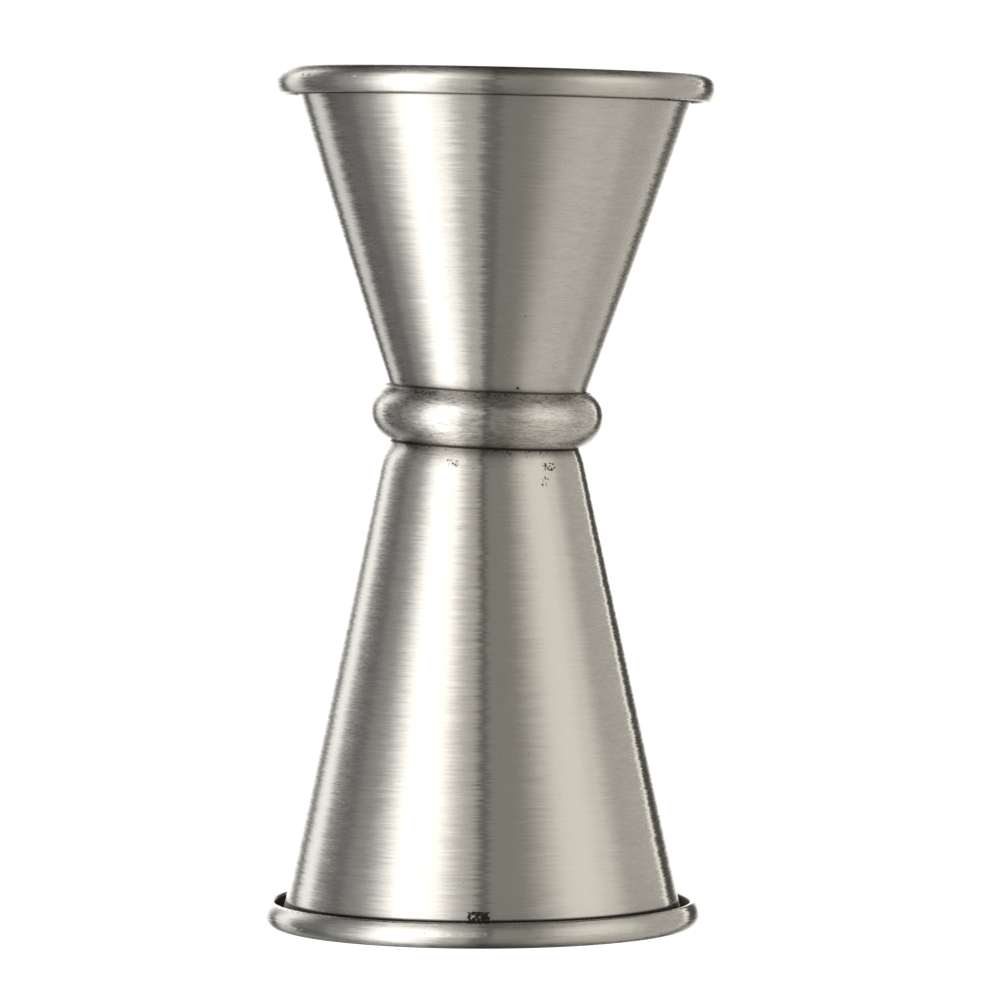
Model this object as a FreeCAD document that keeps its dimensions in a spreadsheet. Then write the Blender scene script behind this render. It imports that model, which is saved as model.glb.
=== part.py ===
import FreeCAD, Part
import math
import os
import Sketcher

# A double-ended bar jigger: two sheet-steel cups joined base to base, with a hollow
# half-round band trapped over the joint. All sizes are in millimetres and degrees.
# The origin is the centre of the large cup's rim, on the surface the jigger stands on.
# +Z is up along the large cup's axis.

os.makedirs("parts", exist_ok=True)
doc = FreeCAD.newDocument("jigger")

# ---------------------------------------------------------------- driving dimensions
SIZES = {
    # Both cups
    "sheet_thickness": 0.70,
    "rest_flat_width": 0.40,      # narrow flat that use has worn on each rim
    "lip_radius": 2.60,           # the rim's curl flattens into a lip with this outer radius
    "lip_rise": 1.21,             # from the rim's widest point to the middle of the lip's end
    # Large cup, mouth down. Its height is from the rim to the outside of its base.
    "large_height": 56.96,
    "large_rim_radius": 24.22,
    "large_curl_radius": 1.32,
    "large_corner_radius": 7.0,
    "large_base_radius": 4.54,
    # Small cup, mouth up. Its wall is very slightly bowed outwards.
    "small_height": 37.89,
    "small_rim_radius": 24.47,
    "small_curl_radius": 1.42,
    "small_corner_radius": 2.5,
    "small_base_radius": 8.26,
    "small_wall_bow_radius": 1170.0,
    # The small cup was joined slightly off centre and leaning
    "solder_gap": 0.20,
    "solder_radius": 4.2,
    "small_offset": 0.68,
    "small_lean": 1.22,
    # Waist band, a hollow half-round ring that sits askew over the joint
    "band_sheet_thickness": 0.70,
    "band_outer_radius": 12.98,
    "band_upper_arc_radius": 3.03,
    "band_lower_arc_radius": 3.60,
    "band_widest_height": 0.37,   # widest point above the middle of the band
    "band_ledge_height": 3.06,    # top ledge above the middle of the band
    "band_top_bore_radius": 10.5,
    "band_bottom_bore_radius": 8.0,
    "band_edge_round": 0.10,
    "band_middle_height": 56.85,
    "band_offset": 0.50,
    "band_skew": 2.80,
    "band_low_side": 16.0,        # the low side's direction, turned from +X towards -Y
}

sheet = doc.addObject("Spreadsheet::Sheet", "dims")
for row, (name, value) in enumerate(SIZES.items(), start=1):
    sheet.set(f"A{row}", name)
    sheet.set(f"B{row}", str(value))
    sheet.setAlias(f"B{row}", name)
doc.recompute()


def size(name):
    """A driving dimension, read back from the sheet."""
    return float(sheet.get(name))


def point(x, y):
    return FreeCAD.Vector(x, y, 0)


def on_circle(centre, radius, degrees):
    angle = math.radians(degrees)
    return centre + point(radius * math.cos(angle), radius * math.sin(angle))


# ------------------------------------------------------------------- sketch building
START, END, CENTRE = 1, 2, 3
ORIGIN = (-1, 1)


def new_body(name):
    body = doc.addObject("PartDesign::Body", name)
    body.Label = name
    return body


def side_sketch(body, name):
    """A sketch on the body's own XZ plane, where x is the radius and y is the height."""
    sketch = body.newObject("Sketcher::SketchObject", name)
    planes = [f for f in body.Origin.OriginFeatures if f.Role == "XZ_Plane"]
    sketch.AttachmentSupport = [(planes[0], "")]
    sketch.MapMode = "FlatFace"
    return sketch


def line(sketch, start, end):
    return sketch.addGeometry(Part.LineSegment(start, end), False)


def arc(sketch, centre, radius, from_degrees, to_degrees):
    """An arc that runs anticlockwise between two directions from its centre."""
    circle = Part.Circle(centre, FreeCAD.Vector(0, 0, 1), radius)
    return sketch.addGeometry(
        Part.ArcOfCircle(circle, math.radians(from_degrees), math.radians(to_degrees)), False
    )


def tie(sketch, kind, *where):
    return sketch.addConstraint(Sketcher.Constraint(kind, *where))


def drive(sketch, name, expression, kind, *where):
    """A named dimension that follows the sheet."""
    index = sketch.addConstraint(Sketcher.Constraint(kind, *where))
    sketch.renameConstraint(index, name)
    sketch.setExpression(f"Constraints.{name}", expression)


def revolve(body, sketch):
    turned = body.newObject("PartDesign::Revolution", body.Name + "_turned")
    turned.Profile = sketch
    turned.ReferenceAxis = (sketch, ["V_Axis"])
    turned.Angle = 360.0
    body.Tip = turned
    sketch.Visibility = False
    return turned


# ---------------------------------------------------------------------- cup profiles
def wall_angles(cup):
    """How far the cup's wall leans out from its axis, in degrees, where it leaves the base
    corner and where it meets the rim curl."""
    corner = size(cup + "_corner_radius")
    curl = size(cup + "_curl_radius") - size("sheet_thickness")
    across = size(cup + "_rim_radius") - size(cup + "_curl_radius") - size(cup + "_base_radius")
    up = curl_centre_height(cup) - corner
    span = math.hypot(across, up)
    chord = math.degrees(math.atan2(across, up))
    if cup == "large":
        # A straight wall crosses between the corner's circle and the curl's
        twist = math.degrees(math.asin((corner + curl) / span))
        return chord - twist, chord - twist
    # A bowed wall touches both circles, so the three centres make a triangle
    bow = size("small_wall_bow_radius")
    to_corner, to_curl = bow - corner, bow + curl
    at_corner = math.acos((to_corner**2 + span**2 - to_curl**2) / (2 * to_corner * span))
    at_curl = math.acos((to_curl**2 + span**2 - to_corner**2) / (2 * to_curl * span))
    return chord + 90 - math.degrees(at_corner), chord - 90 + math.degrees(at_curl)


def curl_centre_height(cup):
    curl = size(cup + "_curl_radius")
    return size(cup + "_height") - math.sqrt(curl**2 - (size("rest_flat_width") / 2) ** 2)


def outer_face(sketch, cup, curl_from):
    """The outside of the cup in section: base, corner, wall and the inside of the rim curl,
    which ends in the direction curl_from."""
    sheet_t = size("sheet_thickness")
    base = size(cup + "_base_radius")
    corner = size(cup + "_corner_radius")
    curl = size(cup + "_curl_radius")
    foot_angle, top_angle = wall_angles(cup)
    corner_centre = point(base, corner)
    curl_centre = point(size(cup + "_rim_radius") - curl, curl_centre_height(cup))

    bottom = line(sketch, point(0, 0), point(base, 0))
    knuckle = arc(sketch, corner_centre, corner, -90, -foot_angle)
    if cup == "large":
        foot = on_circle(corner_centre, corner, -foot_angle)
        wall = line(sketch, foot, on_circle(curl_centre, curl - sheet_t, 180 - top_angle))
    else:
        bow = size("small_wall_bow_radius")
        bow_centre = on_circle(corner_centre, bow - corner, 180 - foot_angle)
        wall = arc(sketch, bow_centre, bow, -foot_angle, -top_angle)
        drive(sketch, "wall_bow_radius", "dims.small_wall_bow_radius", "Radius", wall, bow)
    curl_in = arc(sketch, curl_centre, curl - sheet_t, curl_from, 180 - top_angle)

    tie(sketch, "Coincident", bottom, START, *ORIGIN)
    tie(sketch, "Horizontal", bottom)
    tie(sketch, "Tangent", bottom, END, knuckle, START)
    tie(sketch, "Tangent", knuckle, END, wall, START)
    tie(sketch, "Tangent", wall, END, curl_in, END)

    curl_turn = f"(dims.{cup}_curl_radius ^ 2 - dims.rest_flat_width ^ 2 / 4)"
    drive(sketch, "base_radius", f"dims.{cup}_base_radius",
          "DistanceX", *ORIGIN, bottom, END, base)
    drive(sketch, "corner_radius", f"dims.{cup}_corner_radius", "Radius", knuckle, corner)
    drive(sketch, "curl_inner_radius", f"dims.{cup}_curl_radius - dims.sheet_thickness",
          "Radius", curl_in, curl - sheet_t)
    drive(sketch, "curl_centre_radius", f"dims.{cup}_rim_radius - dims.{cup}_curl_radius",
          "DistanceX", *ORIGIN, curl_in, CENTRE, curl_centre.x)
    drive(sketch, "curl_centre_height", f"dims.{cup}_height - sqrt({curl_turn})",
          "DistanceY", *ORIGIN, curl_in, CENTRE, curl_centre.y)
    return bottom, knuckle, wall, curl_in


def cup_profile(sketch, cup):
    """The cup's sheet in section: a flat base, round corner and sloping wall, and a rim that
    curls outwards and back into an open lip with a round end."""
    sheet_t = size("sheet_thickness")
    base = size(cup + "_base_radius")
    corner = size(cup + "_corner_radius")
    curl = size(cup + "_curl_radius")
    lip = size("lip_radius")
    rise = size("lip_rise")
    flat = size("rest_flat_width")
    foot_angle, top_angle = wall_angles(cup)
    corner_centre = point(base, corner)
    curl_centre = point(size(cup + "_rim_radius") - curl, curl_centre_height(cup))
    lip_centre = point(size(cup + "_rim_radius") - lip, curl_centre_height(cup))
    lip_turn = math.degrees(math.asin(rise / (lip - sheet_t / 2)))
    flat_turn = math.degrees(math.asin(flat / 2 / curl))

    bottom, knuckle, wall, curl_in = outer_face(sketch, cup, 0)
    lip_in = arc(sketch, lip_centre, lip - sheet_t, -lip_turn, 0)
    lip_middle = on_circle(lip_centre, lip - sheet_t / 2, -lip_turn)
    lip_end = arc(sketch, lip_middle, sheet_t / 2, 180 - lip_turn, 360 - lip_turn)
    lip_out = arc(sketch, lip_centre, lip, -lip_turn, 0)
    curl_out = arc(sketch, curl_centre, curl, 0, 90 - flat_turn)
    rest_flat = line(
        sketch,
        on_circle(curl_centre, curl, 90 - flat_turn),
        on_circle(curl_centre, curl, 90 + flat_turn),
    )
    mouth = arc(sketch, curl_centre, curl, 90 + flat_turn, 180 - top_angle)
    if cup == "large":
        foot = on_circle(corner_centre, corner - sheet_t, -foot_angle)
        inner_wall = line(sketch, foot, on_circle(curl_centre, curl, 180 - top_angle))
    else:
        bow = size("small_wall_bow_radius")
        bow_centre = on_circle(corner_centre, bow - corner, 180 - foot_angle)
        inner_wall = arc(sketch, bow_centre, bow - sheet_t, -foot_angle, -top_angle)
        drive(sketch, "inner_bow_radius", "dims.small_wall_bow_radius - dims.sheet_thickness",
              "Radius", inner_wall, bow - sheet_t)
    inner_knuckle = arc(sketch, corner_centre, corner - sheet_t, -90, -foot_angle)
    inner_bottom = line(sketch, point(base, sheet_t), point(0, sheet_t))
    axis_edge = line(sketch, point(0, sheet_t), point(0, 0))

    tie(sketch, "Tangent", curl_in, START, lip_in, END)
    tie(sketch, "Horizontal", curl_in, CENTRE, lip_in, CENTRE)
    tie(sketch, "Coincident", lip_in, CENTRE, lip_out, CENTRE)
    tie(sketch, "Tangent", lip_in, START, lip_end, START)
    tie(sketch, "Tangent", lip_end, END, lip_out, START)
    tie(sketch, "Tangent", lip_out, END, curl_out, START)
    tie(sketch, "Coincident", curl_in, CENTRE, curl_out, CENTRE)
    tie(sketch, "Coincident", curl_in, CENTRE, mouth, CENTRE)
    tie(sketch, "Equal", curl_out, mouth)
    tie(sketch, "Coincident", curl_out, END, rest_flat, START)
    tie(sketch, "Horizontal", rest_flat)
    tie(sketch, "Coincident", rest_flat, END, mouth, START)
    tie(sketch, "Tangent", mouth, END, inner_wall, END)
    tie(sketch, "Tangent", inner_wall, START, inner_knuckle, END)
    tie(sketch, "Coincident", knuckle, CENTRE, inner_knuckle, CENTRE)
    tie(sketch, "Tangent", inner_knuckle, START, inner_bottom, START)
    tie(sketch, "Horizontal", inner_bottom)
    tie(sketch, "Coincident", inner_bottom, END, axis_edge, START)
    tie(sketch, "Coincident", axis_edge, END, *ORIGIN)
    tie(sketch, "Vertical", axis_edge)

    drive(sketch, "inner_corner_radius", f"dims.{cup}_corner_radius - dims.sheet_thickness",
          "Radius", inner_knuckle, corner - sheet_t)
    drive(sketch, "curl_radius", f"dims.{cup}_curl_radius", "Radius", curl_out, curl)
    drive(sketch, "rest_flat_width", "dims.rest_flat_width",
          "DistanceX", rest_flat, END, rest_flat, START, flat)
    drive(sketch, "lip_inner_radius", "dims.lip_radius - dims.sheet_thickness",
          "Radius", lip_in, lip - sheet_t)
    drive(sketch, "lip_rise", "dims.lip_rise",
          "DistanceY", lip_end, CENTRE, lip_in, CENTRE, rise)


def form_profile(sketch, cup):
    """The cup filled solid up to its rim, for fitting the band and the solder to it."""
    bottom, knuckle, wall, curl_in = outer_face(sketch, cup, 90)
    top = curl_centre_height(cup) + size(cup + "_curl_radius") - size("sheet_thickness")
    middle = size(cup + "_rim_radius") - size(cup + "_curl_radius")
    lid = line(sketch, point(middle, top), point(0, top))
    axis_edge = line(sketch, point(0, top), point(0, 0))
    tie(sketch, "Tangent", curl_in, START, lid, START)
    tie(sketch, "Horizontal", lid)
    tie(sketch, "Coincident", lid, END, axis_edge, START)
    tie(sketch, "Coincident", axis_edge, END, *ORIGIN)
    tie(sketch, "Vertical", axis_edge)


# ------------------------------------------------------------------------- placements
def place_large(feature):
    """Mouth down, base at large_height."""
    feature.Placement = FreeCAD.Placement(
        FreeCAD.Vector(0, 0, 0), FreeCAD.Rotation(FreeCAD.Vector(0, 1, 0), 180)
    )
    feature.setExpression("Placement.Base.z", "dims.large_height")


def place_small(feature):
    """Mouth up on the solder, leaning towards +X."""
    feature.Placement = FreeCAD.Placement(
        FreeCAD.Vector(0, 0, 0), FreeCAD.Rotation(FreeCAD.Vector(0, 1, 0), 1)
    )
    feature.setExpression("Placement.Base.x", "dims.small_offset")
    feature.setExpression("Placement.Base.z", "dims.large_height + dims.solder_gap")
    feature.setExpression("Placement.Rotation.Angle", "dims.small_lean")


def place_band(feature):
    """Askew around the waist, lowest on the side that faces band_low_side."""
    low_side = math.radians(size("band_low_side"))
    hinge = FreeCAD.Vector(math.sin(low_side), math.cos(low_side), 0)
    feature.Placement = FreeCAD.Placement(FreeCAD.Vector(0, 0, 0), FreeCAD.Rotation(hinge, 1))
    feature.setExpression("Placement.Base.x", "dims.band_offset")
    feature.setExpression("Placement.Base.z", "dims.band_middle_height")
    feature.setExpression("Placement.Rotation.Angle", "dims.band_skew")


# ------------------------------------------------------------------------------- cups
def make_cup(name, cup, place):
    body = new_body(name)
    sketch = side_sketch(body, name + "_section")
    cup_profile(sketch, cup)
    revolve(body, sketch)
    place(body)
    return body


def make_form(cup, place):
    body = new_body(cup + "_form")
    sketch = side_sketch(body, cup + "_form_section")
    form_profile(sketch, cup)
    revolve(body, sketch)
    place(body)
    return body


lower_cup = make_cup("lower_cup", "large", place_large)
upper_cup = make_cup("upper_cup", "small", place_small)
large_form = make_form("large", place_large)
small_form = make_form("small", place_small)


def fitted(name, blank):
    """A blank with both cups' outsides cut away, so that it lies against them."""
    first = doc.addObject("Part::Cut", name + "_over_large")
    first.Base = blank
    first.Tool = large_form
    second = doc.addObject("Part::Cut", name)
    second.Base = first
    second.Tool = small_form
    second.Label = name
    return second


# ------------------------------------------------------------------------- waist band
def band_profile(sketch):
    """A rounded sheet section with a flat ledge on top and a turned-in edge below. Its outside
    is two arcs that meet at the widest point."""
    sheet_t = size("band_sheet_thickness")
    outer = size("band_outer_radius")
    upper = size("band_upper_arc_radius")
    lower = size("band_lower_arc_radius")
    widest = size("band_widest_height")
    ledge = size("band_ledge_height")
    top_bore = size("band_top_bore_radius")
    bottom_bore = size("band_bottom_bore_radius")
    upper_centre = point(outer - upper, widest)
    lower_centre = point(outer - lower, widest)
    outer_turn = math.degrees(math.asin((ledge - widest) / upper))
    inner_turn = math.degrees(math.asin((ledge - sheet_t - widest) / (upper - sheet_t)))
    floor = widest - lower

    lower_out = arc(sketch, lower_centre, lower, -90, 0)
    upper_out = arc(sketch, upper_centre, upper, 0, outer_turn)
    shoulder = on_circle(upper_centre, upper, outer_turn)
    top = line(sketch, shoulder, point(top_bore, ledge))
    top_edge = line(sketch, point(top_bore, ledge), point(top_bore, ledge - sheet_t))
    under_shoulder = on_circle(upper_centre, upper - sheet_t, inner_turn)
    under_top = line(sketch, point(top_bore, ledge - sheet_t), under_shoulder)
    upper_in = arc(sketch, upper_centre, upper - sheet_t, 0, inner_turn)
    lower_in = arc(sketch, lower_centre, lower - sheet_t, -90, 0)
    over_floor = line(
        sketch, point(lower_centre.x, floor + sheet_t), point(bottom_bore, floor + sheet_t)
    )
    floor_edge = line(sketch, point(bottom_bore, floor + sheet_t), point(bottom_bore, floor))
    bottom = line(sketch, point(bottom_bore, floor), point(lower_centre.x, floor))

    tie(sketch, "Tangent", lower_out, END, upper_out, START)
    tie(sketch, "Horizontal", lower_out, CENTRE, upper_out, CENTRE)
    tie(sketch, "Coincident", upper_out, END, top, START)
    tie(sketch, "Horizontal", top)
    tie(sketch, "Coincident", top, END, top_edge, START)
    tie(sketch, "Vertical", top_edge)
    tie(sketch, "Coincident", top_edge, END, under_top, START)
    tie(sketch, "Horizontal", under_top)
    tie(sketch, "Coincident", under_top, END, upper_in, END)
    tie(sketch, "Coincident", upper_out, CENTRE, upper_in, CENTRE)
    tie(sketch, "Coincident", lower_out, CENTRE, lower_in, CENTRE)
    tie(sketch, "Tangent", lower_in, END, upper_in, START)
    tie(sketch, "Tangent", lower_in, START, over_floor, START)
    tie(sketch, "Horizontal", over_floor)
    tie(sketch, "Coincident", over_floor, END, floor_edge, START)
    tie(sketch, "Vertical", floor_edge)
    tie(sketch, "Coincident", floor_edge, END, bottom, START)
    tie(sketch, "Horizontal", bottom)
    tie(sketch, "Tangent", bottom, END, lower_out, START)

    drive(sketch, "lower_arc_radius", "dims.band_lower_arc_radius", "Radius", lower_out, lower)
    drive(sketch, "upper_arc_radius", "dims.band_upper_arc_radius", "Radius", upper_out, upper)
    drive(sketch, "lower_inner_radius",
          "dims.band_lower_arc_radius - dims.band_sheet_thickness",
          "Radius", lower_in, lower - sheet_t)
    drive(sketch, "lower_centre_radius", "dims.band_outer_radius - dims.band_lower_arc_radius",
          "DistanceX", *ORIGIN, lower_out, CENTRE, lower_centre.x)
    drive(sketch, "widest_height", "dims.band_widest_height",
          "DistanceY", *ORIGIN, lower_out, CENTRE, widest)
    drive(sketch, "ledge_height", "dims.band_ledge_height",
          "DistanceY", *ORIGIN, top, END, ledge)
    drive(sketch, "ledge_thickness", "dims.band_sheet_thickness",
          "DistanceY", top_edge, END, top_edge, START, sheet_t)
    drive(sketch, "top_bore_radius", "dims.band_top_bore_radius",
          "DistanceX", *ORIGIN, top, END, top_bore)
    drive(sketch, "bottom_bore_radius", "dims.band_bottom_bore_radius",
          "DistanceX", *ORIGIN, bottom, START, bottom_bore)


band_blank = new_body("band_blank")
band_sketch = side_sketch(band_blank, "band_section")
band_profile(band_sketch)
revolve(band_blank, band_sketch)
place_band(band_blank)
band_fitted = fitted("band_fitted", band_blank)
doc.recompute()


def ledge_rim(shape):
    """The number of the band's outer ledge edge, which is its longest edge at that height."""
    to_band = band_blank.Placement.inverse()
    found = []
    for number, edge in enumerate(shape.Edges, start=1):
        height = to_band.multVec(edge.valueAt(edge.FirstParameter)).z
        if edge.isClosed() and abs(height - size("band_ledge_height")) < 0.001:
            found.append((edge.Length, number))
    return max(found)[1]


# The sheet is slightly rounded where the ledge turns down into the outside of the band
waist_band = doc.addObject("Part::Fillet", "waist_band")
waist_band.Base = band_fitted
edge_round = size("band_edge_round")
waist_band.Edges = [(ledge_rim(band_fitted.Shape), edge_round, edge_round)]

# ----------------------------------------------------------------------------- solder
solder_blank = doc.addObject("Part::Cylinder", "solder_blank")
solder_blank.setExpression("Radius", "dims.solder_radius")
solder_blank.setExpression("Height", "dims.solder_gap * 4")
solder_blank.setExpression("Placement.Base.x", "dims.small_offset / 2")
solder_blank.setExpression("Placement.Base.z", "dims.large_height - dims.solder_gap * 2")
solder_disc = fitted("solder_disc", solder_blank)

# ----------------------------------------------------------------- recompute and write
doc.recompute()
for thing in doc.Objects:
    if "Invalid" in thing.State or "Error" in thing.State:
        raise RuntimeError(f"{thing.Name} didn't recompute: {thing.State}")

for part in (lower_cup, upper_cup, waist_band, solder_disc):
    shape = part.Shape
    if shape.isNull() or not shape.isValid() or len(shape.Solids) != 1:
        raise RuntimeError(f"{part.Label} isn't one valid solid")
    shape.exportStep(f"parts/{part.Label}.step")
    print(f"{part.Label}: {shape.Volume:.1f} cubic mm, box {shape.BoundBox}")
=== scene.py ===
import math
from collections import namedtuple

import bpy
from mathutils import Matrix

# A brushed steel bar jigger on a plain white floor, lit by tall soft panels.
# Metres and radians, unless a comment says otherwise. +Z is up, and the camera stands on
# the -Y side.

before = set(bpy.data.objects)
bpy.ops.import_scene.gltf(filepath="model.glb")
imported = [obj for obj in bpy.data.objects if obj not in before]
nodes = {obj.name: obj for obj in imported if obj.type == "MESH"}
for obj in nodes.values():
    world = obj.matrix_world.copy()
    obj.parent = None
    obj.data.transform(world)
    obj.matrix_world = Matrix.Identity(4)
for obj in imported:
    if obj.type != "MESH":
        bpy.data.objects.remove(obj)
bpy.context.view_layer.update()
scene = bpy.context.scene
scene.view_settings.view_transform = "Standard"

MM = 0.001

# ------------------------------------------------------------------------------ camera
CAMERA_DISTANCE = 0.6893
CAMERA_HEIGHT = 0.07851
CAMERA_ASIDE = 0.00200
CAMERA_PITCH = math.radians(2.58)
LENS = 223.2                    # mm
SENSOR_WIDTH = 36.0             # mm
NEAREST_SEEN = 0.05
FURTHEST_SEEN = 20.0


def build_camera():
    data = bpy.data.cameras.new("camera")
    data.lens = LENS
    data.sensor_width = SENSOR_WIDTH
    data.clip_start = NEAREST_SEEN
    data.clip_end = FURTHEST_SEEN
    camera = bpy.data.objects.new("camera", data)
    camera.location = (CAMERA_ASIDE, -CAMERA_DISTANCE, CAMERA_HEIGHT)
    camera.rotation_euler = (math.radians(90) - CAMERA_PITCH, 0, 0)
    scene.collection.objects.link(camera)
    scene.camera = camera


build_camera()


# ----------------------------------------------------------------------- node building
class Graph:
    """A small helper that adds nodes to a material's or the world's tree."""

    def __init__(self, tree):
        self.tree = tree
        tree.nodes.clear()

    def node(self, kind, **settings):
        made = self.tree.nodes.new(kind)
        for name, value in settings.items():
            setattr(made, name, value)
        return made

    def link(self, source, target):
        self.tree.links.new(source, target)

    def feed(self, socket, value):
        """Links a socket to another, or sets it to a plain value."""
        if hasattr(value, "is_linked"):
            self.link(value, socket)
        else:
            socket.default_value = value

    def math(self, operation, first, second=0.0, third=0.0):
        made = self.node("ShaderNodeMath", operation=operation)
        self.feed(made.inputs[0], first)
        self.feed(made.inputs[1], second)
        self.feed(made.inputs[2], third)
        return made.outputs[0]

    def ramp(self, value, low, high, to_low=0.0, to_high=1.0):
        """A smooth step from to_low to to_high as value goes from low to high."""
        made = self.node("ShaderNodeMapRange", interpolation_type="SMOOTHSTEP")
        self.feed(made.inputs["Value"], value)
        made.inputs["From Min"].default_value = low
        made.inputs["From Max"].default_value = high
        made.inputs["To Min"].default_value = to_low
        made.inputs["To Max"].default_value = to_high
        return made.outputs["Result"]

    def noise(self, vector, scale, detail, roughness, fourth=None):
        """Noise in three dimensions, or in four if a fourth is given."""
        made = self.node("ShaderNodeTexNoise")
        self.link(vector, made.inputs["Vector"])
        if fourth is not None:
            made.noise_dimensions = "4D"
            self.link(fourth, made.inputs["W"])
        made.inputs["Scale"].default_value = scale
        made.inputs["Detail"].default_value = detail
        made.inputs["Roughness"].default_value = roughness
        return made.outputs["Fac"]

    def mix(self, factor, first, second):
        """The first colour where factor is 0, the second where it is 1."""
        made = self.node("ShaderNodeMix", data_type="RGBA")
        self.feed(made.inputs[0], factor)
        self.feed(made.inputs[6], first)
        self.feed(made.inputs[7], second)
        return made.outputs[2]

    def xyz(self, vector):
        made = self.node("ShaderNodeSeparateXYZ")
        self.link(vector, made.inputs[0])
        return made.outputs["X"], made.outputs["Y"], made.outputs["Z"]

    def scaled(self, vector, factor):
        made = self.node("ShaderNodeVectorMath", operation="SCALE")
        self.feed(made.inputs[0], vector)
        self.feed(made.inputs["Scale"], factor)
        return made.outputs[0]

    def bump(self, height, strength, distance):
        made = self.node("ShaderNodeBump")
        made.inputs["Strength"].default_value = strength
        made.inputs["Distance"].default_value = distance
        self.link(height, made.inputs["Height"])
        return made

    def surface(self, shader_kind, inputs, output_kind="ShaderNodeOutputMaterial"):
        """Ends the tree with a shader, whose inputs are linked or set by name."""
        shader = self.node(shader_kind)
        for name, value in inputs.items():
            self.feed(shader.inputs[name], value)
        output = self.node(output_kind)
        self.link(shader.outputs[0], output.inputs["Surface"])


def new_material(name):
    material = bpy.data.materials.new(name)
    material.use_nodes = True
    return material, Graph(material.node_tree)


# ---------------------------------------------------------------------- studio lighting
# Soft panels that stand all round the jigger. Each has the direction it stands in (degrees
# from the camera's side, positive to the right), how far its top leans that way (degrees),
# its half width and the width of its soft edges (degrees), and how bright it is high up and
# low down.
Panel = namedtuple("Panel", "stands_at top_leans half_width soft high_up low_down")
PANELS = {
    "front_wash": Panel(10, 0, 120, 9, 0.12, 0.14),
    "key": Panel(-47.5, 14, 5, 29, 2.35, 1.85),
    "key_wing": Panel(-19.5, 8, 12, 4, 0.64, 0.42),
    "key_edge": Panel(-82, 8, 4, 12, 0.22, 0.25),
    "right_wash": Panel(71, 0, 65, 4, 0.25, 0.10),
    "right_fill": Panel(63.5, 4, 5, 36, 0.95, 0.36),
    "right_side": Panel(110, 0, 24, 6, 0.17, 0.23),
    "right_rim": Panel(138.8, 17, 1, 3, 2.10, 0.85),
    "left_rim": Panel(-131.5, 16, 3, 12, 2.00, 0.60),
}
# The pale wall behind the jigger, described in the same way
BACK_WALL = Panel(-175, 30, 12, 17, 1.90, 1.05)
AMBIENT = 0.07
LEFT_LIGHT = (1.0, 1.0, 1.0, 1.0)
RIGHT_LIGHT = (1.0, 0.975, 0.92, 1.0)

# Everything dims towards the ceiling and towards the floor, to these shares. The tallest
# panels end below the ceiling, so nothing up there is brighter than CEILING_GLOW.
CEILING_SHARE = 0.14
CEILING_GLOW = 0.16
BRIGHTEST = 3.0
FLOOR_SHARE = 0.20

# Where each change happens, as the upward part of a direction of length 1: from low down to
# high up, towards the ceiling and towards the floor, and for the wall, which ends sooner
PANEL_RISE = (-0.45, 0.45)
CEILING_RISE = (0.42, 0.74)
FLOOR_RISE = (-0.97, -0.80)
WALL_RISE = (-0.25, 0.25)
WALL_ENDS = (0.25, 0.50)
# Where the light turns from LEFT_LIGHT to RIGHT_LIGHT, as its part along +X
TINT_TURN = (-0.5, 0.1)


def build_studio():
    """The world's light: AMBIENT all round, and the panels and the wall on top of it."""
    world = bpy.data.worlds.new("studio")
    scene.world = world
    world.use_nodes = True
    graph = Graph(world.node_tree)
    across, along, up = graph.xyz(graph.node("ShaderNodeTexCoord").outputs["Generated"])
    forward = graph.math("MULTIPLY", along, -1.0)
    degrees = graph.math("DEGREES", graph.math("ARCTAN2", across, forward))

    def strip(panel):
        """1 across a tall strip of the studio, falling to 0 beyond its soft edges."""
        centre = graph.math("MULTIPLY_ADD", up, panel.top_leans, panel.stands_at)
        offset = graph.math("SUBTRACT", degrees, centre)
        away = graph.math("ABSOLUTE", graph.math("WRAP", offset, 180.0, -180.0))
        return graph.ramp(away, panel.half_width, panel.half_width + panel.soft, 1.0, 0.0)

    total = AMBIENT
    for panel in PANELS.values():
        strength = graph.ramp(up, *PANEL_RISE, panel.low_down, panel.high_up)
        total = graph.math("MULTIPLY_ADD", strip(panel), strength, total)
    total = graph.math("MULTIPLY", total, graph.ramp(up, *CEILING_RISE, 1.0, CEILING_SHARE))
    total = graph.math("MULTIPLY", total, graph.ramp(up, *FLOOR_RISE, FLOOR_SHARE, 1.0))
    total = graph.math("MINIMUM", total, graph.ramp(up, *CEILING_RISE, BRIGHTEST, CEILING_GLOW))

    wall_glow = graph.ramp(up, *WALL_RISE, BACK_WALL.low_down, BACK_WALL.high_up)
    wall_ends = graph.ramp(graph.math("ABSOLUTE", up), *WALL_ENDS, 1.0, 0.0)
    wall = graph.math("MULTIPLY", wall_glow, wall_ends)
    total = graph.math("MULTIPLY_ADD", strip(BACK_WALL), wall, total)

    tint = graph.mix(graph.ramp(across, *TINT_TURN), LEFT_LIGHT, RIGHT_LIGHT)
    graph.surface(
        "ShaderNodeBackground", {"Color": tint, "Strength": total}, "ShaderNodeOutputWorld"
    )


build_studio()

# --------------------------------------------------------------------- floor and backdrop
WHITE = (1.0, 1.0, 1.0, 1.0)
FLOOR_GREY = (0.35, 0.35, 0.35, 1.0)
FLOOR_RADIUS = 3.0
FLOOR_GLOW = 1.0
BACKDROP_RADIUS = FLOOR_RADIUS * 1.02
BACKDROP_GLOW = 1.05


def seen_by_camera_only(thing):
    thing.visible_diffuse = False
    thing.visible_glossy = False
    thing.visible_transmission = False
    thing.visible_volume_scatter = False
    thing.visible_shadow = False


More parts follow.
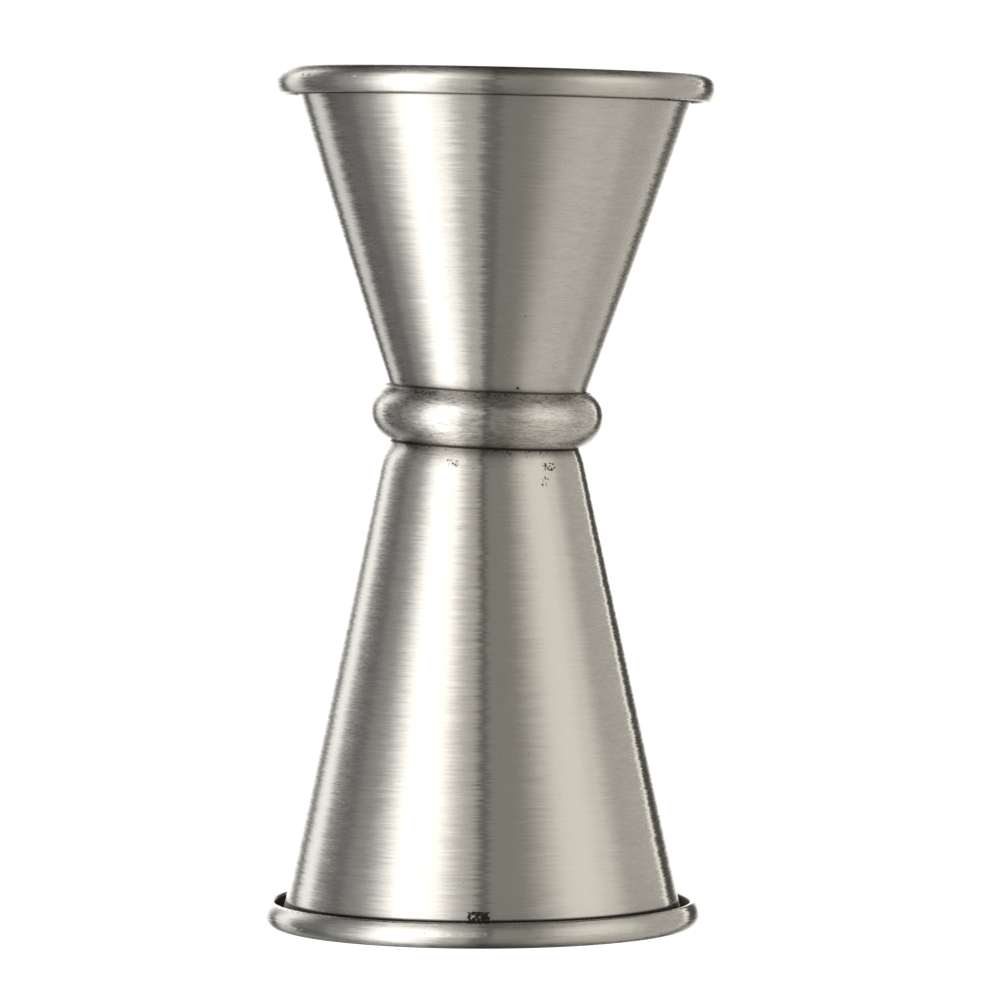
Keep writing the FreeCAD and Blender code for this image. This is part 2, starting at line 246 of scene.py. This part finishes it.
def build_floor():
    bpy.ops.mesh.primitive_circle_add(
        vertices=96, radius=FLOOR_RADIUS, fill_type="NGON", location=(0, 0, 0)
    )
    floor = bpy.context.object
    floor.name = "floor"
    material, graph = new_material("white_floor")
    graph.surface("ShaderNodeBsdfPrincipled", {
        "Base Color": FLOOR_GREY,
        "Roughness": 0.9,
        "Specular IOR Level": 0.0,
        "Emission Color": WHITE,
        "Emission Strength": FLOOR_GLOW,
    })
    floor.data.materials.append(material)
    # The steel mirrors the world's light and not the floor
    seen_by_camera_only(floor)


def build_backdrop():
    bpy.ops.mesh.primitive_uv_sphere_add(
        segments=48, ring_count=24, radius=BACKDROP_RADIUS, location=(0, 0, 0)
    )
    backdrop = bpy.context.object
    backdrop.name = "backdrop"
    material, graph = new_material("white_backdrop")
    graph.surface("ShaderNodeEmission", {"Color": WHITE, "Strength": BACKDROP_GLOW})
    backdrop.data.materials.append(material)
    seen_by_camera_only(backdrop)


build_floor()
build_backdrop()

# -------------------------------------------------------------------- where things are
# Each part's own axis: a point on it, how far it leans, and the direction it leans in
# (degrees, the direction from +X)
Axis = namedtuple("Axis", "origin lean heading")
LARGE_CUP_AXIS = Axis((0, 0, 0), 0.0, 0.0)
SMALL_CUP_AXIS = Axis((0.68 * MM, 0, 57.16 * MM), 1.22, 0.0)
BAND_AXIS = Axis((0.50 * MM, 0, 56.85 * MM), 2.80, -16.0)

# The band's two seams: the height on the band's axis, half the thickness of the black line
# in the seam (painted shade in the crease, with some dark residue in the joint), how black it
# is, how far below it the steel is darkened and specked, and how dark the painted shade, with
# some tarnish, below it is
Seam = namedtuple("Seam", "height thickness blackness reach dull")
SEAMS = (
    Seam(3.10 * MM, 0.13 * MM, 0.75, 1.4 * MM, 0.45),
    Seam(-3.12 * MM, 0.18 * MM, 0.92, 1.2 * MM, 0.65),
)
SEAM_LINE_SOFTNESS = 0.11 * MM
SEAM_LINE_WANDER = 0.08 * MM

# The hollow between each cup's wall and its curled lip: the middle of the lip's curve
# (radius and height on the cup's axis), the curve's radius on its inner face, and which
# way the lip points
Hollow = namedtuple("Hollow", "middle_radius middle_height reach points")
LARGE_HOLLOW = Hollow(21.62 * MM, 1.32 * MM, 1.90 * MM, 1)
SMALL_HOLLOW = Hollow(21.87 * MM, 36.47 * MM, 1.90 * MM, -1)

# Small places on the front, on each part's own axis: across, height, half width, half
# height (all in mm), and how thickly specked. Most are worn; the first on the large cup is
# painted shade
Mark = namedtuple("Mark", "across up half_width half_height amount")
LARGE_CUP_MARKS = (
    # Painted shade, specked so thickly it is nearly solid, just above the foot's curled lip
    Mark(-0.35, 3.3, 1.48, 0.68, 0.36),
    Mark(7.3, 51.5, 0.90, 0.55, 0.26),
    Mark(6.9, 49.9, 0.50, 0.70, 0.21),
    Mark(-3.2, 52.0, 0.80, 0.50, 0.22),
)
SMALL_CUP_MARKS = (Mark(3.2, 3.1, 0.22, 0.18, 0.40),)
BAND_MARKS = (Mark(-3.8, 2.65, 2.00, 0.28, 0.28),)


def along_axis(graph, axis):
    """Position on a part's own axis: the point, its height, and its distance from the axis."""
    position = graph.node("ShaderNodeTexCoord").outputs["Object"]
    mapping = graph.node("ShaderNodeMapping", vector_type="TEXTURE")
    graph.link(position, mapping.inputs["Vector"])
    mapping.inputs["Location"].default_value = axis.origin
    turn = (0, math.radians(axis.lean), math.radians(axis.heading))
    mapping.inputs["Rotation"].default_value = turn
    own = mapping.outputs["Vector"]
    x, y, height = graph.xyz(own)
    squared = graph.math("MULTIPLY_ADD", y, y, graph.math("MULTIPLY", x, x))
    never_zero = graph.math("ADD", squared, 1e-9)
    return own, height, graph.math("SQRT", never_zero)


def beside_seams(graph, clouds):
    """Round the band's two seams: how black the line is, which is painted shade in the crease
    with some dark residue in the joint; how dark the painted shade, with some tarnish, under it
    is;
    and how near under it the point is, from 1 down to 0 where that darkening ends."""
    _, height, _ = along_axis(graph, BAND_AXIS)
    line = 0.0
    shade_and_tarnish = 0.0
    nearness = 0.0
    for seam in SEAMS:
        below = graph.math("SUBTRACT", seam.height, height)
        distance = graph.math("ABSOLUTE", below)
        # The seam's black line: painted shade in the crease, with some dark residue in the
        # joint
        ragged = graph.math("MULTIPLY_ADD", clouds, -SEAM_LINE_WANDER, distance)
        line_core = seam.thickness - SEAM_LINE_SOFTNESS
        drawn = graph.ramp(ragged, line_core, seam.thickness, seam.blackness, 0.0)
        line = graph.math("MAXIMUM", line, drawn)
        # Below the seam: painted shade with some tarnish, and crowded specks, fading out at the
        # seam's reach
        fading = graph.ramp(below, 0.2 * MM, seam.reach, 1.0, 0.0)
        not_above = graph.ramp(below, 0.0, 0.1 * MM)
        near = graph.math("MULTIPLY", fading, not_above)
        shade_and_tarnish = graph.math("MULTIPLY_ADD", near, seam.dull, shade_and_tarnish)
        nearness = graph.math("ADD", near, nearness)
    return line, shade_and_tarnish, nearness


def worn_and_shaded_places(graph, own, marks):
    """How thickly specked the listed places on the front are, and 0 elsewhere: worn places, and
    one nearly solid patch of painted shade.
    """
    x, y, z = graph.xyz(own)
    total = 0.0
    for mark in marks:
        sideways = graph.math("ABSOLUTE", graph.math("SUBTRACT", x, mark.across * MM))
        upwards = graph.math("ABSOLUTE", graph.math("SUBTRACT", z, mark.up * MM))
        wide = graph.math("DIVIDE", sideways, mark.half_width * MM)
        high = graph.math("DIVIDE", upwards, mark.half_height * MM)
        place = graph.ramp(graph.math("MAXIMUM", wide, high), 0.65, 1.05, mark.amount, 0.0)
        total = graph.math("MAXIMUM", total, place)
    in_front = graph.ramp(y, -2.0 * MM, -1.0 * MM, 1.0, 0.0)
    return graph.math("MULTIPLY", total, in_front)


def hollow_shade(graph, height, radius, hollow):
    """1 deep between the wall and the curled lip, 0 on the outside of both."""
    above = graph.math("SUBTRACT", height, hollow.middle_height)
    past = graph.math("MULTIPLY", above, hollow.points)
    out = graph.math("SUBTRACT", radius, hollow.middle_radius)
    squared = graph.math("MULTIPLY_ADD", out, out, graph.math("MULTIPLY", past, past))
    away = graph.math("SQRT", squared)
    inside = graph.ramp(away, hollow.reach + 0.02 * MM, hollow.reach + 0.20 * MM, 1.0, 0.0)
    beyond = graph.ramp(past, -0.5 * MM, -0.2 * MM)
    short_of_lip_edge = graph.ramp(past, 1.45 * MM, 1.75 * MM, 1.0, 0.0)
    outward = graph.ramp(out, -0.35 * MM, -0.15 * MM)
    within = graph.math("MULTIPLY", beyond, short_of_lip_edge)
    return graph.math("MULTIPLY", inside, graph.math("MULTIPLY", within, outward))


# ------------------------------------------------------------------------------- steel
STEEL = (0.62, 0.598, 0.55, 1.0)
# Painted shade, with some tarnish, for the steel just below each seam
SHADE_AND_TARNISH = (0.15, 0.13, 0.11, 1.0)
# Near black: the seams' lines, dark specks, and painted shade in the seams, the rims' hollows
# and above the foot's lip
GRIME_AND_SHADE = (0.055, 0.050, 0.044, 1.0)

# Brush lines: their length (radians round the part) and their pitch along its section
Lines = namedtuple("Lines", "length pitch")
FINE_LINES = Lines(0.06, 0.14 * MM)
BROAD_LINES = Lines(0.30, 0.60 * MM)
TILTED_LINES = Lines(0.22, 0.22 * MM)
# How far a tilted line faces to one side, as a slope
LINE_TILT = 0.022
BRUSHING_DEPTH = 0.02 * MM
BRUSHING_STRENGTH = 0.25

# How uneven the steel's lightness is, from the fine and broad lines together
LARGE_CUP_COARSENESS = 0.16
SMALL_CUP_COARSENESS = 0.12
BAND_COARSENESS = 0.48

# How rough the smoothest and the roughest lines are, and how much the grime and painted shade
# add
SMOOTHEST_LINE = 0.23
ROUGHEST_LINE = 0.30
GRIME_AND_SHADE_ROUGHNESS = 0.35

# Noise: scale (per metre), detail and roughness
CLOUDS = (90.0, 3.0, 0.6)
SPECKS = (3200.0, 2.0, 0.5)
SPECK_BLACKNESS = 0.85


def streaks(graph, own, height, radius, lines):
    """Noise drawn out round the part, on its walls, its base and its curled rim alike."""
    x, y, _ = graph.xyz(own)
    around = graph.math("MULTIPLY", radius, lines.length)
    vector = graph.node("ShaderNodeCombineXYZ")
    graph.link(graph.math("DIVIDE", x, around), vector.inputs["X"])
    graph.link(graph.math("DIVIDE", y, around), vector.inputs["Y"])
    graph.link(graph.math("DIVIDE", height, lines.pitch), vector.inputs["Z"])
    outwards = graph.math("DIVIDE", radius, lines.pitch)
    return graph.noise(vector.outputs[0], 1.0, 2.0, 0.55, fourth=outwards)


def faced_sideways(graph, tangent, lines):
    """The surface's direction, with each brush line turned a little to one side, so that
    reflections fray along their upright edges."""
    tilt = graph.ramp(lines, 0.2, 0.8, -LINE_TILT, LINE_TILT)
    facing = graph.node("ShaderNodeVectorMath", operation="ADD")
    graph.link(graph.node("ShaderNodeNewGeometry").outputs["Normal"], facing.inputs[0])
    graph.link(graph.scaled(tangent, tilt), facing.inputs[1])
    return facing.outputs[0]


def brushed_steel(name, axis, coarseness, marks, hollow=None):
    """Steel brushed round the part's axis: painted shade and some dark residue in its seams,
    painted shade with some tarnish below them, painted shade in the rim's hollow, and dark
    specks.
    """
    material, graph = new_material(name)
    own, height, radius = along_axis(graph, axis)
    fine = streaks(graph, own, height, radius, FINE_LINES)
    broad = streaks(graph, own, height, radius, BROAD_LINES)
    clouds = graph.noise(own, *CLOUDS)
    specks = graph.noise(own, *SPECKS)

    # Colour: steel, a little uneven, with painted shade and some tarnish under the seams, and
    # specks that crowd there
    uneven = graph.math("MULTIPLY_ADD", fine, 0.7, graph.math("MULTIPLY", broad, 0.3))
    lightness = graph.ramp(uneven, 0.2, 0.8, 1.0 - coarseness, 1.0 + coarseness)
    line, shade_and_tarnish, nearness = beside_seams(graph, clouds)
    colour = graph.mix(shade_and_tarnish, graph.scaled(STEEL[:3], lightness), SHADE_AND_TARNISH)
    patchy = graph.math("MULTIPLY", nearness, graph.ramp(clouds, 0.42, 0.60, 0.05, 0.19))
    crowding = graph.math("MAXIMUM", patchy, worn_and_shaded_places(graph, own, marks))
    specked = graph.ramp(
        graph.math("ADD", specks, crowding), 0.75, 0.80, 0.0, SPECK_BLACKNESS
    )
    # Near black for the seams' lines, the specks and the painted shade above the foot's lip
    grime_and_shade = graph.math("MAXIMUM", line, specked)
    # Painted shade deep in the hollow between the wall and the curled lip
    if hollow:
        grime_and_shade = graph.math("MAXIMUM", grime_and_shade, hollow_shade(graph, height, radius, hollow))
    colour = graph.mix(grime_and_shade, colour, GRIME_AND_SHADE)

    # Relief: the brushing, far finer than a pen line
    tangent = graph.node("ShaderNodeTangent", direction_type="RADIAL", axis="Z").outputs[0]
    tilted = streaks(graph, own, height, radius, TILTED_LINES)
    relief = graph.math("MULTIPLY_ADD", broad, 0.5, fine)
    bump = graph.bump(relief, BRUSHING_STRENGTH, BRUSHING_DEPTH)
    graph.link(faced_sideways(graph, tangent, tilted), bump.inputs["Normal"])

    # Some brush lines are rougher than others, which also frays the reflections
    by_line = graph.ramp(uneven, 0.35, 0.65, SMOOTHEST_LINE, ROUGHEST_LINE)
    roughness = graph.math("MULTIPLY_ADD", grime_and_shade, GRIME_AND_SHADE_ROUGHNESS, by_line)

    graph.surface("ShaderNodeBsdfPrincipled", {
        "Base Color": colour,
        "Metallic": 1.0,
        "Roughness": roughness,
        "Anisotropic": 1.0,
        "Anisotropic Rotation": 0.25,
        "Tangent": tangent,
        "Normal": bump.outputs[0],
    })
    return material


# ------------------------------------------------------------------------------ solder
SOLDER = (0.45, 0.45, 0.44, 1.0)
SOLDER_GRAIN = (900.0, 4.0, 0.6)
SOLDER_DEPTH = 0.05 * MM
SOLDER_STRENGTH = 0.4


def dull_solder():
    material, graph = new_material("solder")
    position = graph.node("ShaderNodeTexCoord").outputs["Object"]
    grain = graph.noise(position, *SOLDER_GRAIN)
    graph.surface("ShaderNodeBsdfPrincipled", {
        "Base Color": SOLDER,
        "Metallic": 1.0,
        "Roughness": graph.ramp(grain, 0.3, 0.7, 0.45, 0.6),
        "Normal": graph.bump(grain, SOLDER_STRENGTH, SOLDER_DEPTH).outputs[0],
    })
    return material


# --------------------------------------------------------------------------- the parts
def dress(node, material):
    """Gives a CAD node one material in every one of its slots."""
    mesh = nodes[node].data
    if not mesh.materials:
        mesh.materials.append(material)
    for index in range(len(mesh.materials)):
        mesh.materials[index] = material


large_steel = brushed_steel(
    "lower_cup_steel", LARGE_CUP_AXIS, LARGE_CUP_COARSENESS, LARGE_CUP_MARKS, LARGE_HOLLOW
)
small_steel = brushed_steel(
    "upper_cup_steel", SMALL_CUP_AXIS, SMALL_CUP_COARSENESS, SMALL_CUP_MARKS, SMALL_HOLLOW
)
band_steel = brushed_steel("waist_band_steel", BAND_AXIS, BAND_COARSENESS, BAND_MARKS)
dress("lower_cup", large_steel)
dress("upper_cup", small_steel)
dress("waist_band", band_steel)
dress("solder_disc", dull_solder())
